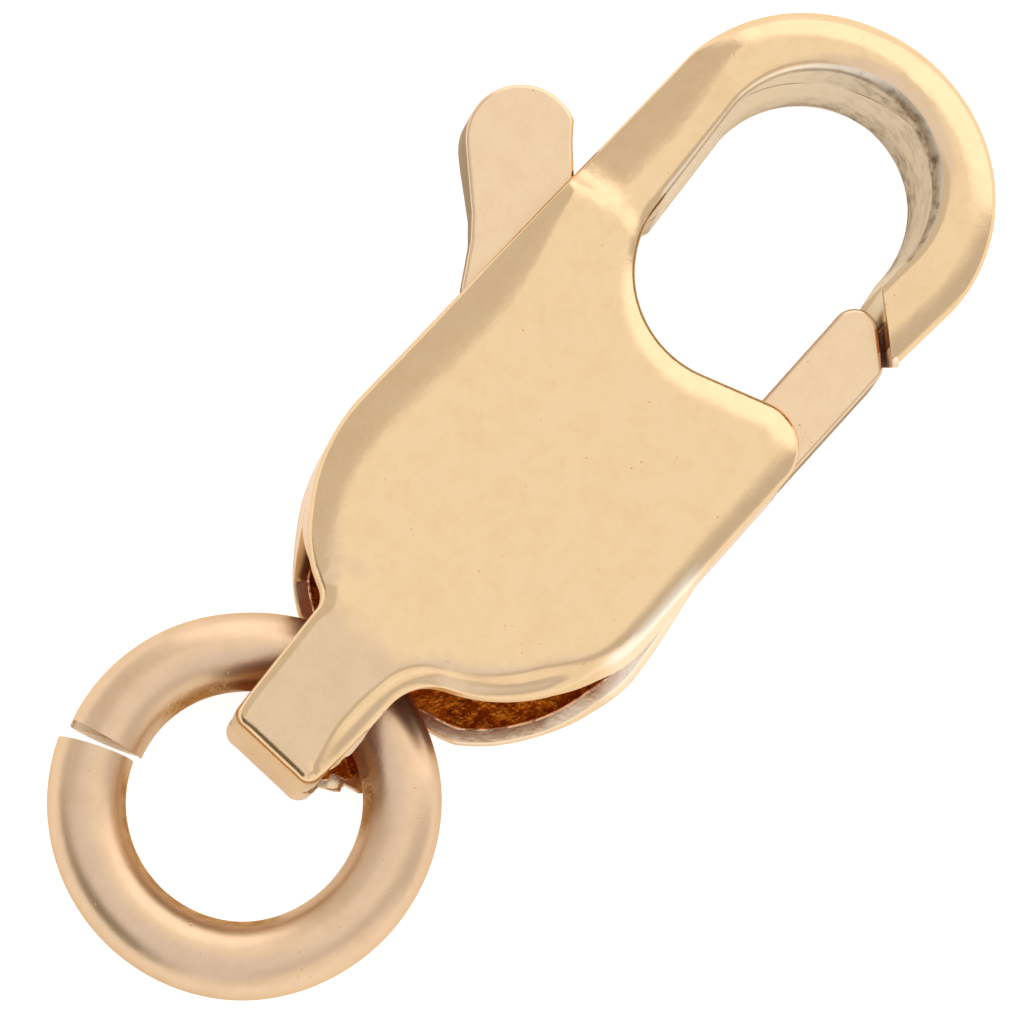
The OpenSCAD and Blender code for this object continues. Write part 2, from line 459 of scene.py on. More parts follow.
@dataclass(frozen=True)
class PlatedMetal:
    """A thin layer of gold over brass sheet, wire or a stamped bar."""

    name: str
    gold: tuple[float, float, float]
    deep_gold: tuple[float, float, float]
    roughness: float
    wave_mm: float = 0.0048
    grain_mm: float = 0.0003
    pit_mm: float = 0.003
    pit_scale: float = 6200.0
    # Tone of unplated metal, also used as painted sheen where pale highlights are marked.
    bare_and_sheen: tuple[float, float, float] = (1.0, 0.89, 0.70)
    # Dark tone of rubbed metal, also the painted shade on the lever's sides.
    dull_and_shade: tuple[float, float, float] = (0.17, 0.105, 0.055)
    soot: tuple[float, float, float] = (0.20, 0.13, 0.07)
    stain: tuple[float, float, float] = (0.57, 0.125, 0.007)
    stain_bright: tuple[float, float, float] = (0.81, 0.26, 0.022)
    edge_tint: tuple[float, float, float] = (0.97, 0.84, 0.64)
    bare_rough: float = 0.15
    inside_rough: float = 0.22
    worn_rough: float = 0.15
    cloud_rough: float = 0.06
    pit_stain: float = 0.45
    crust_mm: float = 0.02
    dents: tuple[tuple[float, float, float, float], ...] = ()
    dent_z: float = 2.25

    def material(self, skin: bpy.types.NodeTree) -> bpy.types.Material:
        """Builds the material.

        Args:
            skin: The shared group of the uneven skin.

        Returns:
            The material.
        """
        made = bpy.data.materials.new(self.name)
        made.use_nodes = True
        n = Nodes(made.node_tree)
        place = n.add("ShaderNodeTexCoord").outputs["Object"]
        zones = n.add("ShaderNodeAttribute", attribute_name=ZONES).outputs["Color"]
        parted = n.add("ShaderNodeSeparateColor", Color=zones)
        inside, bare_and_sheen, wear_and_shade = parted.outputs[0], parted.outputs[1], parted.outputs[2]
        surface = n.add("ShaderNodeGroup", node_tree=skin)
        for label, value in (
            ("Wave height", self.wave_mm * MM),
            ("Grain height", self.grain_mm * MM),
            ("Pit depth", self.pit_mm * MM),
            ("Pit scale", self.pit_scale),
        ):
            surface.inputs[label].default_value = value
        made.node_tree.links.new(place, surface.inputs["Place"])
        cloud = surface.outputs["Cloud"]
        tone = n.blend(n.ramp(cloud, 0.35, 0.75), (*self.gold, 1), (*self.deep_gold, 1))
        tone = n.blend(n.math("MULTIPLY", surface.outputs["Pits"], self.pit_stain), tone, (*self.stain, 1))
        # Unplated metal, and painted sheen where pale highlights are marked.
        tone = n.blend(bare_and_sheen, tone, (*self.bare_and_sheen, 1))
        blotch = n.ramp(n.noise(place, BLOTCH_SCALE, 4.0, 0.62), 0.42, 0.68)
        stained = n.blend(blotch, (*self.stain, 1), (*self.stain_bright, 1))
        tone = n.blend(inside, tone, stained)
        # Rubbing and grime, and on the lever's sides painted shade, pull the tone towards the dark tone.
        dulled_and_shaded = n.math("MULTIPLY", wear_and_shade, n.math("SUBTRACT", 0.8, bare_and_sheen))
        tone = n.blend(n.math("MAXIMUM", dulled_and_shaded, 0.0), tone, (*self.dull_and_shade, 1))
        sooty = n.math("MULTIPLY", n.math("MULTIPLY", wear_and_shade, bare_and_sheen), n.math("MULTIPLY_ADD", blotch, 0.55, 0.4))
        tone = n.blend(sooty, tone, (*self.soot, 1))
        rough = n.math("MULTIPLY_ADD", cloud, self.cloud_rough, self.roughness - self.cloud_rough / 2)
        rough = n.math("MULTIPLY_ADD", inside, self.inside_rough, rough)
        rough = n.math("MULTIPLY_ADD", wear_and_shade, self.worn_rough, rough)
        rough = n.math("MULTIPLY_ADD", bare_and_sheen, self.bare_rough, rough)
        crust = n.math("MULTIPLY", blotch, inside)
        height = n.math("MULTIPLY_ADD", crust, self.crust_mm * MM, surface.outputs["Height"])
        for x, y, radius, rise in self.dents:
            middle = (x * MM, y * MM, self.dent_z * MM)
            apart = n.add("ShaderNodeVectorMath", operation="DISTANCE", i0=place, i1=middle)
            share = n.ramp(apart.outputs["Value"], radius * MM, 0.0)
            height = n.math("MULTIPLY_ADD", share, rise * MM, height)
        bump = n.add("ShaderNodeBump", Strength=1.0, Distance=1.0, Height=height)
        shader = n.add(
            "ShaderNodeBsdfPrincipled",
            Base_Color=tone,
            Metallic=1.0,
            Specular_Tint=(*self.edge_tint, 1),
            Roughness=rough,
            Normal=bump.outputs[0],
        )
        n.add("ShaderNodeOutputMaterial", Surface=shader.outputs[0])
        return made


# The folded shell


@dataclass
class EdgePoint:
    """One point of the shell's outline with the shape of the edge there."""

    x: float
    y: float
    width: float
    depth: float
    flare: float = 0.0
    facet: float = 0.0
    opening: float = 0.0
    seam: float = 0.0
    # Share of the unplated tone: unplated metal, and painted sheen along the gate side's belly.
    bare_and_sheen: float = 0.0
    lip: float = 0.0
    grime: float = 0.0


@dataclass
class ClaspShell:
    """The hollow claw: two halves of folded sheet joined by the tail strap's fold."""

    half_h: float = 1.15
    sheet: float = 0.2
    body_half: float = 2.36
    round_end_x: float = 1.85
    bow_x: float = 4.1
    bow_half: float = 2.33
    bow_reach: float = 2.2
    eye_r: float = 1.455
    tip: Point = (3.69, -1.455)
    tip_angle: float = 50.5
    tip_corner: tuple[float, float, float] = (2.987, -2.27, 2.25)
    corner_out: tuple[float, float, float] = (-0.724, -0.69, -0.183)
    saddle_r: float = 1.39
    saddle: Point = (2.58, -0.1)
    shoulder_r: float = 0.6
    shoulder: Point = (1.04, -1.67)
    thumb_neck: tuple[float, float, float] = (0.9, 0.3, 0.12)
    gate_neck: tuple[float, float, float] = (0.6, 0.7, -0.06)
    strap_end_y: Point = (0.78, -0.6)
    strap_end: float = 6.03
    strap_end_h: float = 0.82
    fold_corner_r: float = 0.2
    swell: tuple[Point, ...] = (
        (90, 0), (110, 0.02), (130, 0.06), (139, 0.10), (148, 0.12), (156, 0.12),
        (205, -0.06), (240, -0.06), (255, -0.05), (265, -0.01), (270, 0),
    )
    tail_flare: tuple[Point, ...] = (
        (192, 0.08), (198, 0.15), (206, 0.25), (214, 0.33), (224, 0.31), (236, 0.27), (249, 0.25),
        (262, 0.22), (270, 0.2),
    )
    side_flare: tuple[Point, ...] = ((-1.85, 0.2), (-1.4, 0.16), (-1.07, 0.11), (-0.4, 0.0))
    strap_flare: tuple[Point, ...] = (
        (-5.66, 0.0), (-5.56, 0.2), (-5.5, 0.25), (-5.42, 0.18), (-5.36, 0.42), (-5.3, 0.48),
        (-5.1, 0.46), (-4.98, 0.28), (-4.88, 0.15), (-4.6, 0.08),
    )
    seam_gap: float = 0.008
    eye_seam_gap: float = 0.012
    window_from: float = -3.5
    window_h: float = 0.79
    window_run: float = 0.4
    window_rise: float = 0.06
    window_rise_x: Point = (-3.92, -4.2)
    fold_open: Point = (-0.16, 0.08)
    gate_window: tuple[Point, ...] = ((-3.97, 0.79), (-3.0, 0.74), (-2.0, 0.395), (-0.95, 0.0))
    eye_grime: tuple[Point, ...] = ((-90, 0.7), (-20, 1.0), (30, 0.45), (60, 0.06), (80, 0.0))
    eye_seam: Point = (0.93, 0.62)
    eye_seam_turn: Point = (80.0, 95.0)
    clean_inside: Point = (-4.4, -5.8)
    dull_inside: float = 0.45
    # Painted highlight: the back half's tail wall is paled towards the unplated tone.
    tail_pale: float = 0.3
    tail_pale_x: Point = (-1.9, -2.6)
    tail_pale_y: Point = (0.3, 0.6)
    skin_grime: float = 0.45
    foot_grime: float = 0.5
    foot_rows: int = 5
    # How far each cut at the hook's end is darkened.
    cut_darkening: Point = (0.3, 0.0)
    slot_h: float = 0.72
    thumb_slot: Point = (-1.5, 2.24)
    gate_slot: Point = (0.95, 2.0)
    tail_open_from: float = -0.9
    lip_from: Point = (-2.3, -3.2)
    eye_bare: Point = (1.6, 2.4)
    # Painted highlight: stretch of the gate side's belly whose walls take the pale unplated tone.
    belly_sheen: tuple[float, float, float, float] = (-2.5, -2.1, -0.9, -0.4)
    hook_end_x: Point = (1.9, 5.0)
    hook_end_y: float = -1.3
    crown: float = 0.012
    strap_bend_x: float = -3.95
    strap_bend: float = 0.5
    strap_slope: float = 0.205
    facet_tilt: float = 16.0
    facet_round: float = 0.07
    inner_round: float = 0.2
    inner_grid: float = 0.55
    round_steps: int = 8
    grid: float = 0.16
    lip_rows: tuple[Point, ...] = (
        (0.0, 0.25), (0.015, 0.215), (0.06, 0.185), (0.13, 0.16), (0.195, 0.14), (0.24, 0.105),
        (0.285, 0.055), (0.34, 0.018), (0.43, 0.0),
    )
    lip_width: float = 0.3
    step_h: float = 0.055
    step_run: float = 0.4
    step_fade: Point = (3.2, 4.6)
    step_line: tuple[Point, ...] = ((1.6, 2.28), (1.93, 2.23), (2.16, 2.13), (2.3, 1.98))
    body: str = "clasp"

    def outline(self) -> list[EdgePoint]:
        """Draws the clasp's outline seen from above, counterclockwise.

        Returns:
            The points, each with its edge's width, depth, flare, facet, opening and seam.
        """
        thumb_x, thumb_y, thumb_from = self.neck(*self.thumb_neck)
        gate_x, gate_y, gate_from = self.neck(*self.gate_neck)
        bow_c = (self.bow_x, 0.0)
        bow_r = (self.bow_reach, self.bow_half)

        run = (self.bow_x - self.saddle[0], self.eye_r - self.saddle[1])
        leave = math.degrees(math.atan2(run[1], run[0]) + math.acos(self.saddle_r / math.hypot(*run)))
        cross = (self.shoulder[0] - self.saddle[0], self.shoulder[1] - self.saddle[1])
        lean = math.acos((self.saddle_r + self.shoulder_r) / math.hypot(*cross))
        turn = math.degrees(math.atan2(cross[1], cross[0]) - lean) + 360

        points: list[EdgePoint] = []

        def lay(
            places: list[Point],
            width: Point,
            depth: Point,
            flare: Point = (0.0, 0.0),
            facet: Point = (0.0, 0.0),
        ) -> None:
            """Adds a stretch whose edge changes evenly from its first value to its last."""
            last = max(1, len(places) - 1)
            for i, (x, y) in enumerate(places):
                t = i / last
                points.append(
                    EdgePoint(x, y, mix(*width, t), mix(*depth, t), mix(*flare, t), mix(*facet, t))
                )

        def tail(start: float, end: float, count: int) -> list[Point]:
            """Lays the tail's round, which swells a little on the way to the necks."""
            turns = [mix(start, end, i / count) for i in range(count + 1)]
            reach = [self.body_half + table(self.swell, turn) for turn in turns]
            return [arc((-self.round_end_x, 0.0), r, r, turn, turn, 1)[0] for r, turn in zip(reach, turns)]

        lay([(2.2, -2.2), (2.7, -2.26), (3.1, -2.28)], (0.42, 0.42), (0.42, 0.42), (-0.1, -0.1), (0.8, 0.8))
        lay(arc(bow_c, *bow_r, -90, -45, 20), (0.42, 0.42), (0.42, 0.42), (-0.1, 0.0), (0.8, 0.7))
        lay(arc(bow_c, *bow_r, -42.5, 0, 17), (0.42, 0.42), (0.42, 0.42), facet=(0.7, 0.3))
        lay(arc(bow_c, *bow_r, 2.5, 20, 7), (0.42, 0.42), (0.42, 0.4), facet=(0.28, 0.0))
        lay(arc(bow_c, *bow_r, 22.5, 70, 20), (0.42, 0.4), (0.4, 0.36))
        lay(arc(bow_c, *bow_r, 72.5, 84, 6), (0.42, 0.52), (0.36, 0.42), facet=(0.0, 0.9))
        lay(arc(bow_c, *bow_r, 86, 90, 2), (0.54, 0.56), (0.42, 0.42), facet=(1.0, 1.0))
        self.lay_thumb_side(points)
        lay(tail(90, 135, 18)[1:], (0.73, 0.44), (0.43, 0.36), (0.0, 0.0), (0.7, 0.8))
        lay(tail(137, thumb_from, 12), (0.43, 0.3), (0.36, 0.3), (0.0, 0.09), (0.8, 0.8))
        r = self.thumb_neck[1]
        fillet = arc((thumb_x, thumb_y), r, r, thumb_from - 180, -90, 10)
        lay(fillet[1:], (0.3, 0.18), (0.3, 0.16), (0.09, 0.0), (0.8, 0.5))
        self.lay_strap(points, thumb_x, gate_x)
        r = self.gate_neck[1]
        lay(arc((gate_x, -gate_y), r, r, 90, 180 - gate_from, 16)[:-1], (0.24, 0.21), (0.22, 0.3))
        lay(tail(360 - gate_from, 270, 44), (0.21, 0.36), (0.3, 0.3))
        low = (self.shoulder[0], self.shoulder[1] - self.shoulder_r)
        lay(line((-self.round_end_x, -self.body_half), low, 24), (0.36, 0.4), (0.3, 0.3), facet=(0.5, 0.9))
        r = self.shoulder_r
        lay(arc(self.shoulder, r, r, -90, turn - 180, 18)[:-1], (0.4, 0.5), (0.3, 0.18), facet=(0.9, 0))
        lay(arc(self.saddle, self.saddle_r, self.saddle_r, turn, leave, 40), (0.48, 0.24), (0.18, 0.15))
        top = (
            self.saddle[0] + self.saddle_r * math.cos(math.radians(leave)),
            self.saddle[1] + self.saddle_r * math.sin(math.radians(leave)),
        )
        lay(line(top, (self.bow_x, self.eye_r), 14), (0.2, 0.12), (0.15, 0.14), (0.06, 0.06))
        lay(arc(bow_c, self.eye_r, self.eye_r, 90, 50, 14), (0.12, 0.2), (0.14, 0.2), (0.06, 0.06))
        lay(arc(bow_c, self.eye_r, self.eye_r, 47, 5, 15), (0.22, 0.33), (0.2, 0.28), (0.06, 0.06))
        lay(arc(bow_c, self.eye_r, self.eye_r, 2, -40, 15), (0.33, 0.33), (0.28, 0.28), (0.06, 0.08))
        lay(arc(bow_c, self.eye_r, self.eye_r, -43, -90, 17), (0.32, 0.14), (0.27, 0.16), (0.08, 0.13))
        ending = [(3.7, -1.456), (3.3, -1.46), (2.9, -1.47), (2.5, -1.85)]
        lay(ending, (0.12, 0.12), (0.15, 0.15), (0.06, 0.06))
        for point in points:
            self.open_wall(point, gate_x)
            self.spread_wall(point, gate_x)
        return points

    def neck(self, half: float, fillet: float, swell: float) -> tuple[float, float, float]:
        """Finds the fillet between the tail's round and the strap.

        Args:
            half: Distance of the strap's edge from the middle line.
            fillet: Radius of the fillet.
            swell: What the tail's round has more than the body's half width there.

        Returns:
            The fillet's centre and the angle at which it meets the round.
        """
        y, reach = half + fillet, self.body_half + swell + fillet
        return -self.round_end_x - math.sqrt(reach**2 - y**2), y, 180 - math.degrees(math.asin(y / reach))

    def spread_wall(self, point: EdgePoint, gate_x: float) -> None:
        """Sets how far the back half stands out at a point of the gate side's tail.

        Args:
            point: Point that gets its flare.
            gate_x: Where the gate side's neck runs into the strap.
        """
        x, y = point.x, point.y
        if y > -0.5 or x > 0.0:
            return
        if x < gate_x:
            point.flare = table(self.strap_flare, x)
        elif x < -self.round_end_x:
            point.flare = table(self.tail_flare, math.degrees(math.atan2(y, x + self.round_end_x)) % 360)
        else:
            point.flare = table(self.side_flare, x)

    def lay_thumb_side(self, points: list[EdgePoint]) -> None:
        """Adds the long side with the thumb tab, where limb and body meet in a small step.

        Args:
            points: Outline that the stretch is added to.
        """
        widths = [
            (-1.8, 0.72), (-0.9, 0.77), (-0.3, 0.75), (0.3, 0.66), (0.8, 0.52), (1.3, 0.36), (1.56, 0.27),
            (1.82, 0.17), (1.93, 0.12), (2.03, 0.4), (2.14, 0.62), (2.4, 0.7), (3.3, 0.7), (3.8, 0.63),
            (4.1, 0.56),
        ]
        depths = [
            (-1.8, 0.43), (0.3, 0.42), (1.3, 0.3), (1.82, 0.15), (1.93, 0.12), (2.14, 0.42), (4.1, 0.42)
        ]
        spots = [4.0, 3.9, 3.8, 3.65, 3.5, 3.35, 3.2, 3.05, 2.9, 2.75, 2.6, 2.5, 2.4, 2.3, 2.2]
        spots += [2.14, 2.08, 2.03, 1.98, 1.92, 1.85] + [1.75 - 0.12 * i for i in range(30)]
        for x in spots:
            t = (self.bow_x - x) / (self.bow_x + self.round_end_x)
            y = mix(self.bow_half, self.body_half, t)
            facet = mix(0.7, 1.0, smooth(-1.0, 0.8, x)) if x < 3.0 else 1.0
            points.append(EdgePoint(x, y, table(widths, x), table(depths, x), 0.0, facet))

    def lay_strap(self, points: list[EdgePoint], thumb_x: float, gate_x: float) -> None:
        """Adds the strap's two edges and its folded end.

        Args:
            points: Outline that the stretch is added to.
            thumb_x: Where the thumb side's neck runs into the strap.
            gate_x: Where the gate side's neck runs into it.
        """
        r, end = self.fold_corner_r, -self.strap_end
        high, low = self.strap_end_y
        for x, y in line((thumb_x, self.thumb_neck[0]), (end + r, high), 16):
            points.append(EdgePoint(x, y, 0.15, 0.14, facet=0.4))
        for x, y in arc((end + r, high - r), r, r, 90, 180, 6):
            points.append(EdgePoint(x, y, 0.17, 0.2))
        for x, y in line((end, high - r), (end, low + r), 12):
            points.append(EdgePoint(x, y, 0.19, 0.24))
        for x, y in arc((end + r, low + r), r, r, 180, 270, 6):
            points.append(EdgePoint(x, y, 0.18, 0.22))
        for x, y in line((end + r, low), (gate_x, -self.gate_neck[0]), 24):
            points.append(EdgePoint(x, y, 0.26, 0.2))

    def open_wall(self, point: EdgePoint, neck_x: float) -> None:
        """Sets how far the wall is open at a point, and where its seam runs.

        Args:
            point: Point that gets its opening, seam, unplated finish and the belly's painted sheen.
            neck_x: Where the gate side's neck runs into the strap.
        """
        x, y = point.x, point.y
        if y < -0.4 and x >= -self.strap_end + self.fold_corner_r:
            point.lip = smooth(*self.lip_from, x) * smooth(-self.strap_end + 0.1, neck_x - 0.5, x)
        point.opening = self.opening_at(x, y, neck_x)
        from_bow = math.hypot(x - self.bow_x, y)
        if x > self.eye_bare[0] and abs(y) < 1.5 and from_bow < 2.0 and (x > self.bow_x or abs(y) > 0.5):
            point.bare_and_sheen = smooth(*self.eye_bare, x)
        # Painted highlight: the walls along the gate side's belly take the pale unplated tone.
        if y < -1.9:
            start, full, fade, end = self.belly_sheen
            point.bare_and_sheen = 0.8 * smooth(start, full, x) * smooth(end, fade, x)
        if from_bow < self.eye_r + 0.01 and x > self.bow_x:
            angle = math.degrees(math.atan2(y, x - self.bow_x))
            start, turn = self.eye_seam_turn
            share = min(max((start - angle) / turn, 0.0), 1.0)
            high, dip = self.eye_seam
            point.seam = high - dip * math.sin(math.pi * share) ** 0.8
            point.opening = self.eye_seam_gap
            point.grime = table(self.eye_grime, angle)

    def opening_at(self, x: float, y: float, neck_x: float) -> float:
        """Gives half of the height of the gap between the two halves at a place of the outline.

        Args:
            x: Place along the clasp.
            y: Place across it.
            neck_x: Where the gate side's neck runs into the strap.

        Returns:
            The slots' height where the lever passes, the windows' at the tail, or the seam's.
        """
        if y > 1.9 and self.thumb_slot[0] < x < self.thumb_slot[1]:
            return self.slot_h
        if -2.4 < y < -0.2 and self.gate_slot[0] < x < self.gate_slot[1] and (y >= -2.25 or x >= 1.0):
            return self.slot_h
        if x <= neck_x + 0.001:
            inner = -self.strap_end + self.sheet
            start, end = self.fold_open
            return (self.strap_top(x) - self.sheet) * smooth(inner + start, inner + end, x)
        if x >= self.tail_open_from or abs(y) >= self.body_half + 0.01:
            return self.seam_gap
        opening = self.seam_gap
        if x < self.window_from:
            share = min((self.window_from - x) / self.window_run, 1.0)
            opening = mix(self.seam_gap, self.window_h, share)
            opening += self.window_rise * smooth(*self.window_rise_x, x)
        return max(opening, table(self.gate_window, x)) if y < 0 else opening

    def strap_top(self, x: float) -> float:
        """Gives the height of the strap's top above the clasp's middle at x."""
        run, bend, slope = self.strap_bend_x - x, self.strap_bend, self.strap_slope
        if run <= 0:
            return self.half_h
        drop = slope * run * run / (2 * bend) if run < bend else slope * (run - bend / 2)
        return max(self.half_h - drop, self.strap_end_h)

    def top(self, side: Side, x: float, y: float) -> float:
        """Gives the height of the plate above or below the clasp's middle.

        Args:
            side: Which half.
            x: Place along the clasp.
            y: Place across it.

        Returns:
            The height, always above 0.
        """
        height = self.strap_top(x)
        if side is Side.FRONT and x > -4.2:
            height -= self.crown * (y / self.body_half) ** 2
            step = table(self.step_line, y)
            fade = 1 - smooth(*self.step_fade, x)
            height -= self.step_h * smooth(step - self.step_run, step + 0.02, x) * fade
        return height

    def profile(self, point: EdgePoint, inset: float, side: Side) -> list[Point]:
        """Draws the rounded edge from the wall's top to the plate.

        Args:
            point: Outline point.
            inset: Depth under the outer skin: 0 or the sheet's thickness.
            side: Which half.

        Returns:
            Pairs of distance inward and drop under the plate's outer face.
        """
        width = max(point.width - inset, 0.02)
        depth = max(point.depth - inset, 0.02)
        if inset:
            width, depth = min(width, self.inner_round), min(depth, self.inner_round)
        tilt = math.radians(self.facet_tilt)
        curve = min(self.facet_round, width)
        radius = curve / (1 - math.sin(tilt))
        rows = []
        half = self.round_steps // 2
        for k in range(self.round_steps + 1):
            turn = math.radians(90 * k / self.round_steps)
            plain = (width * (1 - math.cos(turn)), depth * (1 - math.sin(turn)))
            slope_drop = (width - curve) * math.tan(tilt)
            if k <= half:
                phi = mix(math.pi / 2, tilt, k / half)
                cut = (
                    radius * (1 - math.sin(phi)),
                    slope_drop + radius * (math.cos(tilt) - math.cos(phi)),
                )
            else:
                t = ((k - half) / (self.round_steps - half)) ** 0.7
                cut = (mix(curve, width, t), slope_drop * (1 - t) ** 1.25)
            share = point.facet if inset == 0 else 0.0
            away = inset + mix(plain[0], cut[0], share)
            drop = inset + mix(plain[1], cut[1], share)
            if inset == 0 and side is Side.FRONT:
                lip_away, lip_drop = self.lip_rows[k]
                away = mix(away, lip_away * point.width / self.lip_width, point.lip)
                drop = mix(drop, lip_drop, point.lip)
            rows.append((away, drop))
        return rows

    def half(self, side: Side) -> bpy.types.Object:
        """Builds one half of the sheet as a closed shell with its own thickness.

        Args:
            side: Which half.

        Returns:
            The half, with its open end at the hook's tip cut and closed.
        """
        points = self.outline()
        flat = [(p.x, p.y) for p in points]
        directions = [inward(flat, i) for i in range(len(points))]
        outer = [self.profile(p, 0.0, side) for p in points]
        inner = [self.profile(p, self.sheet, side) for p in points]

        def at(i: int, distance: float, drop: float | None, low: float = 0.0) -> Vector:
            """Places a point of the skin from its distance inward and its drop or its height."""
            p, (dx, dy) = points[i], directions[i]
            flare = p.flare if side is Side.BACK else 0.0
            if drop is None:
                wall = self.half_h - outer[i][0][1]
                share = (wall - low) / (2 * wall)
                flare = p.flare * min(max(share, 0.0), 1.0)
            x, y = p.x + dx * (distance - flare), p.y + dy * (distance - flare)
            if drop is None:
                return Vector((x, y, self.half_h + low))
            return Vector((x, y, self.half_h + side.value * (self.top(side, x, y) - drop)))

        def edge_height(i: int) -> float:
            """Gives the height of the sheet's edge against the clasp's middle."""
            p = points[i]
            rounding = max(outer[i][0][1] + 0.03, inner[i][0][1] + 0.01)
            limit = self.top(side, p.x, p.y) - rounding
            return min(max(p.opening * side.value + p.seam, -limit), limit)

        count = range(len(points))
        rusty, skin, foot, plate = self.finishes(points, side)
        loft = Loft(f"shell_{side.name.lower()}", [at(i, *inner[i][-1]) for i in count], rusty[0])
        loft.close()
        for k in range(self.round_steps - 2, -1, -2):
            loft.raise_to([at(i, *inner[i][k]) for i in count], rusty)
        heights = [edge_height(i) for i in count]
        loft.raise_to([at(i, self.sheet, None, heights[i]) for i in count], rusty)
        loft.raise_to([at(i, self.sheet * 0.85, None, heights[i]) for i in count], skin)
        loft.raise_to([at(i, 0.02, None, heights[i]) for i in count], skin)
        lifted = [heights[i] + (0.02 if points[i].opening else 0.0) * side.value for i in count]
        loft.raise_to([at(i, 0.0, None, lifted[i]) for i in count], skin)
        low = [at(i, 0.0, None, lifted[i]) for i in count]
        high = [at(i, *outer[i][0]) for i in count]
        loft.raise_to([a.lerp(b, 0.5) for a, b in zip(low, high)], skin)
        for k in range(self.round_steps + 1):
            loft.raise_to([at(i, *outer[i][k]) for i in count], foot if k < self.foot_rows else plate)
        loft.close()
        loft.mark_ends(INNER_MARK, CAP_MARK)
        loft.keep_zones()
        point_normals_out(loft.obj)
        self.square_cap(loft.obj, side)
        self.cut_tip(loft.obj)
        return loft.obj

    def finishes(self, points: list[EdgePoint], side: Side) -> tuple[list[Zone], ...]:
        """Says how a half is finished at each point of its outline, painted sheen on its walls included.

        Args:
            points: The outline.
            side: Which half.

        Returns:
            The finishes of the inside, of the wall's skin, of the wall's foot and of the plate.
        """
        clean_from = self.clean_inside[0 if side is Side.FRONT else 1]
        rusty = [(1.0 if p.x > clean_from else self.dull_inside, 0.0, 0.0) for p in points]
        skin = [(0.0, p.bare_and_sheen, p.grime * p.bare_and_sheen) for p in points]
        foot = skin
        if side is Side.BACK:
            # Painted highlight: the back half's tail wall is paled towards the unplated tone.
            tail = [smooth(*self.tail_pale_x, p.x) * smooth(*self.tail_pale_y, abs(p.y)) for p in points]
            pale = [max(p.bare_and_sheen, self.tail_pale * t) for p, t in zip(points, tail)]
            foot = [(0.0, b, min(1.0, p.grime + self.foot_grime) * p.bare_and_sheen) for p, b in zip(points, pale)]
            skin = [(0.0, b, self.skin_grime * p.grime * p.bare_and_sheen) for p, b in zip(points, pale)]
        return rusty, skin, foot, [(0.0, 0.0, 0.0)] * len(points)

    def square_cap(self, obj: bpy.types.Object, side: Side) -> None:
        """Cuts the outer and the inner plate into a grid and gives them their gentle shape.

        Args:
            obj: Half of the shell.
            side: Which half it is.
        """
        take_up(obj)
        bpy.context.tool_settings.mesh_select_mode = (False, False, True)
        bpy.ops.object.mode_set(mode="EDIT")
        spans = ((Vector((1, 0, 0)), -6.1, 6.4), (Vector((0, 1, 0)), -2.4, 2.4))
        plates = ((CAP_MARK, self.grid, 0.0), (INNER_MARK, self.inner_grid, self.sheet))
        for mark, grid, drop in plates:
            for normal, start, end in spans:
                place = start
                while place < end:
                    select_faces(obj, lambda face: face.material_index == mark)
                    bpy.ops.mesh.bisect(plane_co=normal * place * MM, plane_no=normal, threshold=FINE)
                    place += grid
            shape = bmesh.from_edit_mesh(obj.data)
            for vertex in shape.verts:
                if vertex.link_faces and all(face.material_index == mark for face in vertex.link_faces):
                    x, y = vertex.co.x / MM, vertex.co.y / MM
                    vertex.co.z = (self.half_h + side.value * (self.top(side, x, y) - drop)) * MM
            bmesh.update_edit_mesh(obj.data)
        shape = bmesh.from_edit_mesh(obj.data)
        for face in shape.faces:
            face.material_index = 0
        bmesh.update_edit_mesh(obj.data)
        bpy.ops.object.mode_set(mode="OBJECT")

    def cut_tip(self, obj: bpy.types.Object, sheet: bool = True) -> None:
        """Cuts the hook's end off along its slant, takes its outer corner off and closes the cuts.

        Args:
            obj: Half of the shell, or a wall inside its end.
            sheet: Whether it is a half, which is cut on both planes and gets a finish on the cuts.
        """
        take_up(obj)
        bpy.context.tool_settings.mesh_select_mode = (False, False, True)
        bpy.ops.object.mode_set(mode="EDIT")
        turn = math.radians(self.tip_angle)
        slant = (Vector((*self.tip, 0.0)) * MM, Vector((-math.sin(turn), math.cos(turn), 0.0)))
        corner = (Vector(self.tip_corner) * MM, Vector(self.corner_out).normalized())
        cuts = (slant, corner) if sheet else (corner,)

        def at_hook_end(face: bmesh.types.BMFace) -> bool:
            """Says whether a face belongs to the hook's last stretch."""
            spot = face.calc_center_median() / MM
            return self.hook_end_x[0] < spot.x < self.hook_end_x[1] and spot.y < self.hook_end_y

        for centre, out in cuts:
            select_faces(obj, at_hook_end)
            bpy.ops.mesh.bisect(
                plane_co=centre, plane_no=out, clear_outer=True, use_fill=True, threshold=FINE
            )
        bpy.ops.object.mode_set(mode="OBJECT")
        if not sheet:
            return
        store = obj.data.attributes[ZONES].data
        # The faces of each cut are darkened towards the dark tone.
        for face in obj.data.polygons:
            for darkening, (centre, out) in zip(self.cut_darkening, cuts):
                off = abs((face.center - centre).dot(out)) / MM
                if off < 0.002 and abs(face.normal.dot(out)) > 0.99:
                    for index in face.loop_indices:
                        store[index].color = (0.0, 0.0, darkening, 1.0)

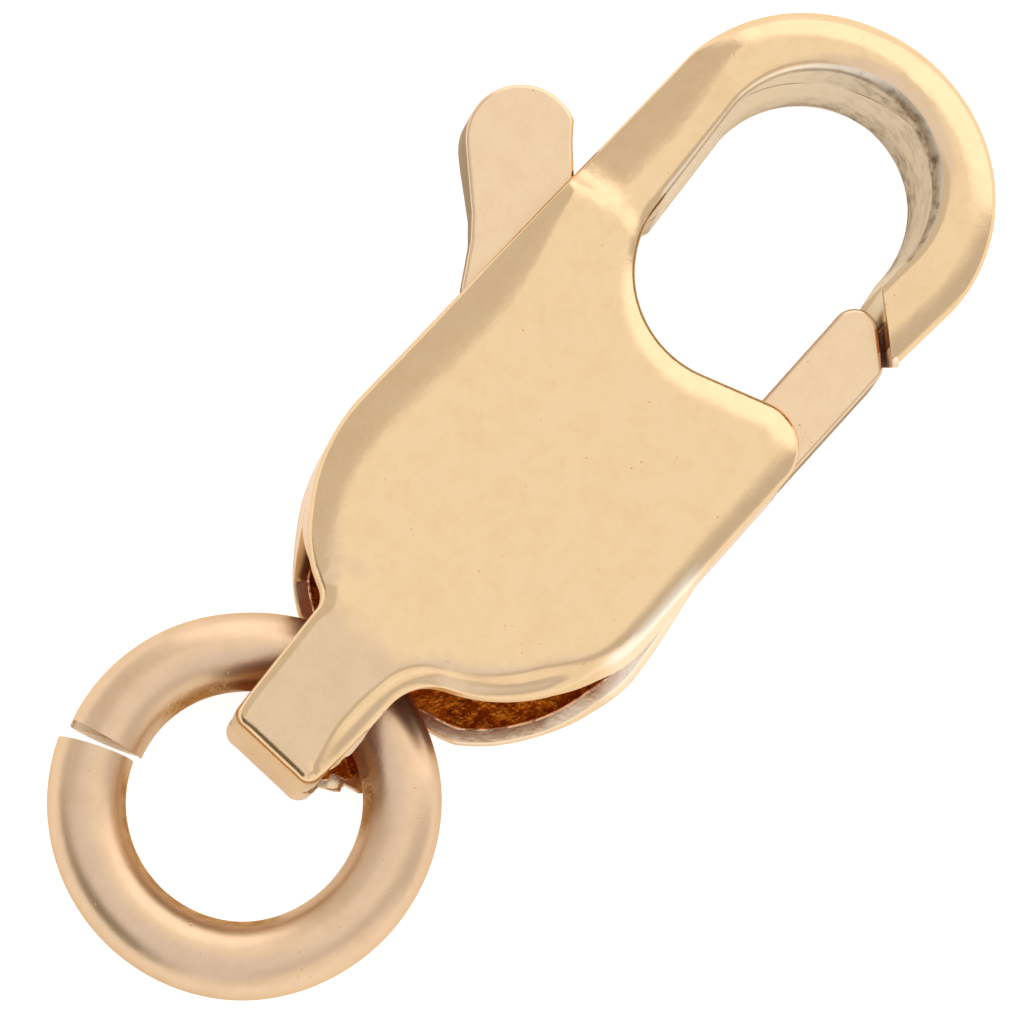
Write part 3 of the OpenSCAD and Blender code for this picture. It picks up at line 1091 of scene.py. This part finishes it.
    def tip_wall(
        self, width: float, tall: float, place: float, recess: float, zone: Zone
    ) -> bpy.types.Object:
        """Builds a small wall inside the hook's open end.

        Args:
            width: Width of the wall along the cut.
            tall: Height of the wall.
            place: Distance of its middle from the cut's inner end.
            recess: Depth of its middle behind the cut.
            zone: Finish of its surface.

        Returns:
            The wall.
        """
        deselect_everything()
        bpy.ops.mesh.primitive_cube_add(size=1.0, location=(0, 0, 0))
        wall = bpy.context.object
        wall.scale = (width * MM, 0.1 * MM, tall * MM)
        turn = math.radians(180 + self.tip_angle)
        along = Vector((math.cos(turn), math.sin(turn), 0.0))
        into = Vector((-math.sin(turn), math.cos(turn), 0.0))
        spot = Vector((*self.tip, self.half_h)) + along * place + into * recess
        wall.location = spot * MM
        wall.rotation_euler = (0, 0, turn)
        bpy.ops.object.transform_apply(location=True, rotation=True, scale=True)
        bpy.ops.object.modifier_add(type="BEVEL")
        wall.modifiers[-1].width = 0.03 * MM
        wall.modifiers[-1].segments = 3
        bpy.ops.object.modifier_apply(modifier=wall.modifiers[-1].name)
        self.cut_tip(wall, sheet=False)
        store = wall.data.attributes.new(ZONES, "FLOAT_COLOR", "CORNER")
        for item in store.data:
            item.color = (*zone, 1.0)
        return wall

    def build(self, finish: bpy.types.Material) -> bpy.types.Object:
        """Builds the shell and lets it stand for its solid.

        Args:
            finish: Material of the shell.

        Returns:
            The finished piece.
        """
        parts = [
            self.half(Side.FRONT),
            self.half(Side.BACK),
            self.tip_wall(0.42, 2.06, 0.24, 0.042, (0.0, 0.9, 0.15)),
            self.tip_wall(0.36, 1.98, 0.62, 0.06, (0.8, 0.35, 0.0)),
            self.tip_wall(0.28, 1.96, 0.91, 0.042, (0.25, 0.9, 0.0)),
        ]
        shell = join(parts, "claw_shell")
        shell.data.materials.clear()
        shell.data.materials.append(finish)
        shade(shell, 40)
        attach(shell, self.body)
        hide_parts("clasp_shell")
        return shell


# The lever


@dataclass
class Lever:
    """The flat sprung lever: gate, heel, boss and thumb tab in one stamped bar."""

    mid_z: float = 1.15
    thick: float = 1.3
    rim: float = 0.06
    under_rim: float = 0.09
    under_slope: float = 0.6
    thumb_under: float = 0.25
    stem_under: tuple[Point, ...] = ((2.2, 1.05), (2.6, 1.0), (3.0, 0.8), (3.5, 0.45))
    thumb_c: Point = (1.975, 3.14)
    thumb_r: float = 0.72
    gate_end_c: Point = (3.11, -1.60)
    gate_r: float = 0.3
    gate_corner_c: Point = (2.90, -2.07)
    gate_corner_r: float = 0.15
    tip_angle: float = 51.0
    hook_side: tuple[Point, ...] = ((0.8, 0.3), (1.05, 0.95), (1.5, 1.65), (2.09, 2.34), (2.41, 2.66))
    tail_side: tuple[Point, ...] = (
        (0.84, 2.96), (0.56, 2.72), (0.05, 2.4), (-0.2, 2.15), (-0.45, 1.5), (-0.55, 0.6),
    )
    heel: tuple[Point, ...] = (
        (-0.75, 0.1), (-0.7, -0.35), (-0.45, -0.65), (0.3, -1.4), (1.0, -1.95), (1.15, -2.26),
    )
    root: tuple[Point, ...] = ((1.45, -1.35), (0.85, -1.18), (0.62, -0.6), (0.78, -0.1))
    body: str = "lever"

    def outline(self) -> list[Point]:
        """Draws the lever seen from above, counterclockwise.

        Returns:
            Evenly spaced points, at most a tenth of a millimetre apart.
        """
        corners = list(self.heel)
        r = self.gate_corner_r
        corners += arc(self.gate_corner_c, r, r, -90, self.tip_angle - 90, 6)
        corners += arc(self.gate_end_c, self.gate_r, self.gate_r, self.tip_angle - 90, 90, 12)
        corners += self.root + self.hook_side
        corners += arc(self.thumb_c, self.thumb_r, self.thumb_r, -25, 137, 26)
        corners += self.tail_side
        points = []
        for a, b in zip(corners, corners[1:] + corners[:1]):
            steps = max(1, round(math.dist(a, b) / 0.1))
            points += [a] + line(a, b, steps)
        return points

    def under(self, x: float, y: float) -> float:
        """Gives how high the underside's edge is rounded off at a place."""
        thumb = mix(self.under_rim, self.thumb_under, smooth(2.9, 3.3, y))
        stem = smooth(1.2, 2.2, y) * smooth(1.3, 0.9, x - 0.35 * (y - 2.4))
        return mix(thumb, table(self.stem_under, y), stem)

    def build(self, finish: bpy.types.Material) -> bpy.types.Object:
        """Builds the lever and lets it stand for its solid.

        Args:
            finish: Material of the lever.

        Returns:
            The finished piece.
        """
        flat = self.outline()
        count = range(len(flat))
        ways = [inward(flat, i) for i in count]
        low, high = self.mid_z - self.thick / 2, self.mid_z + self.thick / 2
        zone = [(0.0, 0.0, 0.0)] * len(flat)

        def ring(distance: Callable[[int], float], z: Callable[[int], float]) -> list[Vector]:
            """Places one level from each point's distance inward and height."""
            return [
                Vector((flat[i][0] + ways[i][0] * distance(i), flat[i][1] + ways[i][1] * distance(i), z(i)))
                for i in count
            ]

        rims = [self.under(*p) for p in flat]
        # Painted shade: the lever's sides and rounded underside are pulled towards the dark tone.
        side = [(0.0, 0.0, 1.0)] * len(flat)
        loft = Loft("swing_lever", ring(lambda i: rims[i] * self.under_slope, lambda i: low), side[0])
        loft.close()
        for step in range(1, 6):
            turn = math.radians(18 * step)
            loft.raise_to(
                ring(
                    lambda i: rims[i] * self.under_slope * (1 - math.sin(turn)),
                    lambda i: low + rims[i] * (1 - math.cos(turn)),
                ),
                side,
            )
        for step in range(5):
            turn = math.radians(22.5 * step)
            loft.raise_to(
                ring(
                    lambda i: self.rim * (1 - math.cos(turn)),
                    lambda i: high - self.rim * (1 - math.sin(turn)),
                ),
                side if step == 0 else zone,
            )
        loft.close()
        loft.keep_zones()
        point_normals_out(loft.obj)
        lever = loft.obj
        lever.data.materials.append(finish)
        shade(lever, 50)
        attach(lever, self.body)
        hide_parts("lever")
        return lever


# The jump ring


@dataclass
class JumpRing:
    """The open ring of round wire that passes through the strap's loop."""

    radius: float = 2.0
    wire: float = 0.5
    slit: float = 0.15
    slit_at: float = 111.0
    skews: Point = (-6.0, 1.5)
    pinch: float = 0.08
    pinch_span: Point = (5, 50)
    droop: float = 0.035
    droop_span: tuple[float, float, float, float] = (215, 262, 275, 325)
    rubbed: tuple[Point, ...] = ((112, 245), (46, 92), (292, 352))
    rub_fade: float = 14.0
    rub_reach: Point = (40, 62)
    wide_rub: Point = (298, 335)
    end_ease: float = 35.0
    end_inset: float = 0.015
    wire_x: float = 4.5095
    wire_z: float = 0.84
    centre_y: float = -0.0755
    around: int = 48
    along: int = 220
    body: str = "ring"

    def build(self, finish: bpy.types.Material) -> bpy.types.Object:
        """Builds the ring and lets it stand for its solid.

        Args:
            finish: Material of the ring.

        Returns:
            The finished piece.
        """
        gap = math.degrees(self.slit / self.radius)
        ring = self.spun_wire(gap)
        self.drop_inner_faces(ring)
        point_normals_out(ring)
        self.bend_and_rub(ring, gap, self.slit_at - gap / 2)
        ring.data.materials.append(finish)
        shade(ring, 40, weighted=False)
        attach(ring, self.body)
        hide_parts("jump_ring")
        return ring

    def spun_wire(self, gap: float) -> bpy.types.Object:
        """Spins the wire's round section into an open ring.

        Args:
            gap: Angle of the slit in degrees.

        Returns:
            The ring about its own axis, with its slit between angle 0 and the gap.
        """
        deselect_everything()
        bpy.ops.mesh.primitive_circle_add(
            vertices=self.around,
            radius=self.wire * MM,
            fill_type="NGON",
            location=(self.radius * MM, 0, 0),
            rotation=(math.pi / 2, 0, 0),
        )
        ring = bpy.context.object
        ring.name = ring.data.name = "open_ring"
        bpy.ops.object.transform_apply(location=True, rotation=True, scale=True)
        bpy.ops.object.mode_set(mode="EDIT")
        bpy.ops.mesh.select_all(action="SELECT")
        bpy.ops.mesh.inset(thickness=self.end_inset * MM, depth=0)
        bpy.ops.mesh.select_all(action="SELECT")
        bpy.ops.mesh.spin(
            steps=self.along,
            angle=math.radians(360 - gap),
            center=(0, 0, 0),
            axis=(0, 0, 1),
            dupli=False,
        )
        bpy.ops.object.mode_set(mode="OBJECT")
        return ring

    def bend_and_rub(self, ring: bpy.types.Object, gap: float, start: float) -> None:
        """Presses the ring in a little, skews its cut ends, puts it in place and stores its finish, with the
        painted reflection on the cut ends.

        Args:
            ring: The spun ring.
            gap: Angle of the slit in degrees.
            start: Angle at which the slit starts, in degrees.
        """
        mesh = ring.data
        store = mesh.attributes.new(ZONES, "FLOAT_COLOR", "POINT")
        place = self.placing(start)
        for index, vertex in enumerate(mesh.vertices):
            x, y, z = vertex.co / MM
            r = math.hypot(x, y)
            tube = math.hypot(r - self.radius, z)
            angle = math.degrees(math.atan2(y, x)) % 360
            near = min(abs(angle - gap), abs(360 - angle), angle + 360 * (angle > 1))
            end = 1 - smooth(0.05, 0.5, near)
            ease = 1 - smooth(0.0, self.end_ease, near)
            lean = self.skews[0] if angle > 180 else self.skews[1]
            skew = math.degrees((r - self.radius) * math.tan(math.radians(lean)) / self.radius) * ease
            plan = (angle + start) % 360
            r -= self.pinch * smooth(*self.pinch_span, plan) * (plan < self.slit_at)
            low, full, fade, high = self.droop_span
            r -= self.droop * smooth(low, full, plan) * smooth(high, fade, plan)
            turn = math.radians(math.degrees(math.atan2(y, x)) + skew)
            vertex.co = place @ (Vector((r * math.cos(turn), r * math.sin(turn), z)) * MM)
            # The cut ends take the unplated tone, which on the ring is near white and paints a bright
            # reflection.
            face = end * smooth(self.wire, self.wire - 0.03, tube)
            around = math.degrees(math.atan2(z, self.radius - r))
            late = smooth(*self.wide_rub, plan)
            reach = mix(*self.rub_reach, late)
            rubbed = smooth(reach + 10, reach - 8, abs(around + 8)) * (1 - face)
            soft = self.rub_fade
            rubbed *= max(smooth(a, a + soft, plan) * smooth(b, b - soft, plan) for a, b in self.rubbed)
            rubbed *= mix(1.0, 0.4, late)
            store.data[index].color = (0.85 * rubbed, face, 0.3 * rubbed, 1.0)

    def drop_inner_faces(self, ring: bpy.types.Object) -> None:
        """Removes the faces that the spin leaves inside the wire.

        Args:
            ring: The spun ring.
        """
        shape = bmesh.new()
        shape.from_mesh(ring.data)
        bmesh.ops.remove_doubles(shape, verts=shape.verts, dist=0.0001 * MM)
        inner = [face for face in shape.faces if self.hidden(face)]
        bmesh.ops.delete(shape, geom=inner, context="FACES")
        loose = [vertex for vertex in shape.verts if not vertex.link_faces]
        bmesh.ops.delete(shape, geom=loose, context="VERTS")
        shape.to_mesh(ring.data)
        shape.free()

    def hidden(self, face: bmesh.types.BMFace) -> bool:
        """Says whether a face lies inside the wire and not on its skin or its two ends."""
        spots = [vertex.co / MM for vertex in face.verts]
        depths = [math.hypot(math.hypot(s.x, s.y) - self.radius, s.z) for s in spots]
        gap = math.degrees(self.slit / self.radius)
        angles = [math.degrees(math.atan2(s.y, s.x)) % 360 for s in spots]
        if all(a < 0.01 or a > 359.99 for a in angles) or all(abs(a - gap) < 0.01 for a in angles):
            return False
        return min(depths) < self.wire - 0.005

    def placing(self, start: float) -> Matrix:
        """Gives the turn and shift that bring the ring to its place on the surface.

        Args:
            start: Angle at which the slit starts, in degrees.

        Returns:
            The matrix, in metres.
        """
        slope = math.asin((self.wire_z - self.wire) / (2 * self.radius))
        shift = Matrix.Translation(Vector((-self.wire_x, self.centre_y, self.wire_z)) * MM)
        lean = Matrix.Rotation(-slope, 4, "Y")
        back = Matrix.Translation(Vector((-self.radius, 0, 0)) * MM)
        return shift @ lean @ back @ Matrix.Rotation(math.radians(start), 4, "Z")


# Studio


@dataclass(frozen=True)
class SoftPatch:
    """One soft light or shade in the studio, seen in the metal."""

    azimuth: float
    elevation: float
    radius: float
    softness: float
    colour: tuple[float, float, float]

    def direction(self) -> tuple[float, float, float]:
        """Gives the unit direction from the clasp to the patch's middle."""
        a, e = math.radians(self.azimuth), math.radians(self.elevation)
        return math.cos(e) * math.cos(a), math.cos(e) * math.sin(a), math.sin(e)


@dataclass
class Studio:
    """Camera, plain floor and the soft surroundings."""

    lean: tuple[float, float, float] = (-0.204, -0.04, 1.0)
    roll: float = 43.6
    distance: float = 0.25
    target: tuple[float, float, float] = (-0.0015, 0.0, 0.00115)
    lens: float = 694.3
    floor_size: float = 1.2
    floor_glow: float = 0.28
    floor_glow_seen: float = 0.38
    overhead: tuple[float, float, float] = (1.15, 1.15, 1.15)
    patches: tuple[SoftPatch, ...] = (
        SoftPatch(180.0, 50.0, 42.0, 8.0, (0.99, 1.0, 1.14)),
        SoftPatch(90.0, 8.0, 53.0, 5.0, (0.81, 0.79, 0.80)),
        SoftPatch(-90.0, 8.0, 51.0, 8.0, (0.75, 0.74, 0.78)),
        SoftPatch(-105.0, 4.0, 30.0, 8.0, (1.15, 1.13, 1.12)),
        SoftPatch(12.0, 12.0, 50.0, 6.0, (1.65, 1.60, 1.66)),
        SoftPatch(150.0, 0.0, 25.0, 10.0, (0.42, 0.38, 0.34)),
        SoftPatch(172.0, 13.0, 20.0, 9.0, (0.19, 0.165, 0.11)),
    )

    def camera(self) -> None:
        """Places the camera at the photograph's angle."""
        n = Vector(self.lean).normalized()
        ahead = Vector((1, 0, 0))
        w = (ahead - ahead.dot(n) * n).normalized()
        u = w.cross(n)
        r = math.radians(self.roll)
        x_axis = u * math.cos(r) + w * math.sin(r)
        y_axis = -u * math.sin(r) + w * math.cos(r)
        spot = Vector(self.target) + self.distance * n
        data = bpy.data.cameras.new("studio_camera")
        data.lens = self.lens
        data.sensor_width = 36.0
        data.clip_start = 0.01
        data.clip_end = 10.0
        camera = bpy.data.objects.new("studio_camera", data)
        bpy.context.collection.objects.link(camera)
        turn = Matrix((x_axis, y_axis, n)).transposed().to_4x4()
        camera.matrix_world = Matrix.Translation(spot) @ turn
        bpy.context.scene.camera = camera

    def floor(self) -> None:
        """Lays the plain pale floor."""
        deselect_everything()
        bpy.ops.mesh.primitive_plane_add(size=self.floor_size, location=(0, 0, 0))
        floor = bpy.context.object
        floor.name = floor.data.name = "floor"
        made = bpy.data.materials.new("pale_floor")
        made.use_nodes = True
        n = Nodes(made.node_tree)
        shader = n.add("ShaderNodeBsdfPrincipled", Base_Color=(0.92, 0.92, 0.92, 1), Roughness=0.9)
        shader.inputs["Specular IOR Level"].default_value = 0.1
        shader.inputs["Emission Color"].default_value = (1, 1, 1, 1)
        seen = n.add("ShaderNodeLightPath").outputs["Is Camera Ray"]
        glow = n.math("MULTIPLY_ADD", seen, self.floor_glow_seen, self.floor_glow)
        n.tree.links.new(glow, shader.inputs["Emission Strength"])
        n.add("ShaderNodeOutputMaterial", Surface=shader.outputs[0])
        floor.data.materials.append(made)

    def surroundings(self) -> None:
        """Builds the soft light all round, with its brighter and darker sides."""
        world = bpy.data.worlds.new("studio")
        bpy.context.scene.world = world
        world.use_nodes = True
        n = Nodes(world.node_tree)
        way = n.add("ShaderNodeTexCoord").outputs["Generated"]
        colour = (*self.overhead, 1)
        for patch in self.patches:
            aim = n.add("ShaderNodeVectorMath", operation="DOT_PRODUCT")
            n.tree.links.new(way, aim.inputs[0])
            aim.inputs[1].default_value = patch.direction()
            inner = math.cos(math.radians(max(patch.radius - patch.softness, 0.5)))
            outer = math.cos(math.radians(patch.radius + patch.softness))
            colour = n.blend(n.ramp(aim.outputs["Value"], outer, inner), colour, (*patch.colour, 1))
        light = n.add("ShaderNodeBackground", Color=colour, Strength=1.0)
        n.add("ShaderNodeOutputWorld", Surface=light.outputs[0])

    def build(self) -> None:
        """Sets up the whole studio."""
        self.camera()
        self.floor()
        self.surroundings()
        bpy.context.scene.view_settings.view_transform = "Standard"


def main() -> None:
    """Builds the dressed clasp piece by piece and the studio around it."""
    logging.basicConfig(level=logging.INFO, format="%(name)s: %(message)s")
    skin = hammered_skin_group()
    shell_gold = PlatedMetal(
        "shell_gold_layer", (0.775, 0.560, 0.325), (0.745, 0.520, 0.285), 0.16, dents=SHELL_DENTS
    ).material(skin)
    lever_gold = PlatedMetal(
        "lever_gold_satin", (0.765, 0.565, 0.355), (0.74, 0.53, 0.33), 0.26
    ).material(skin)
    ring_gold = PlatedMetal(
        "ring_gold_wire",
        (0.73, 0.52, 0.325),
        (0.69, 0.48, 0.295),
        0.33,
        # Near-white unplated tone: paints the bright reflection on the cut ends.
        bare_and_sheen=(1.0, 0.98, 0.95),
        bare_rough=-0.1,
        stain=(0.60, 0.27, 0.05),
        stain_bright=(0.88, 0.55, 0.2),
    ).material(skin)
    pin_gold = PlatedMetal("pin_gold_plain", (0.70, 0.50, 0.26), (0.66, 0.46, 0.24), 0.3).material(skin)

    for part, finish in ((ClaspShell(), shell_gold), (Lever(), lever_gold), (JumpRing(), ring_gold)):
        piece = part.build(finish)
        log.info("%s: %d faces, rides on %s", piece.name, len(piece.data.polygons), part.body)
    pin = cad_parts["pivot_pin"]
    pin.data.materials.clear()
    pin.data.materials.append(pin_gold)
    log.info("pivot_pin keeps its solid and gets its finish")
    Studio().build()
    log.info("studio is set")


if __name__ == "__main__":
    main()
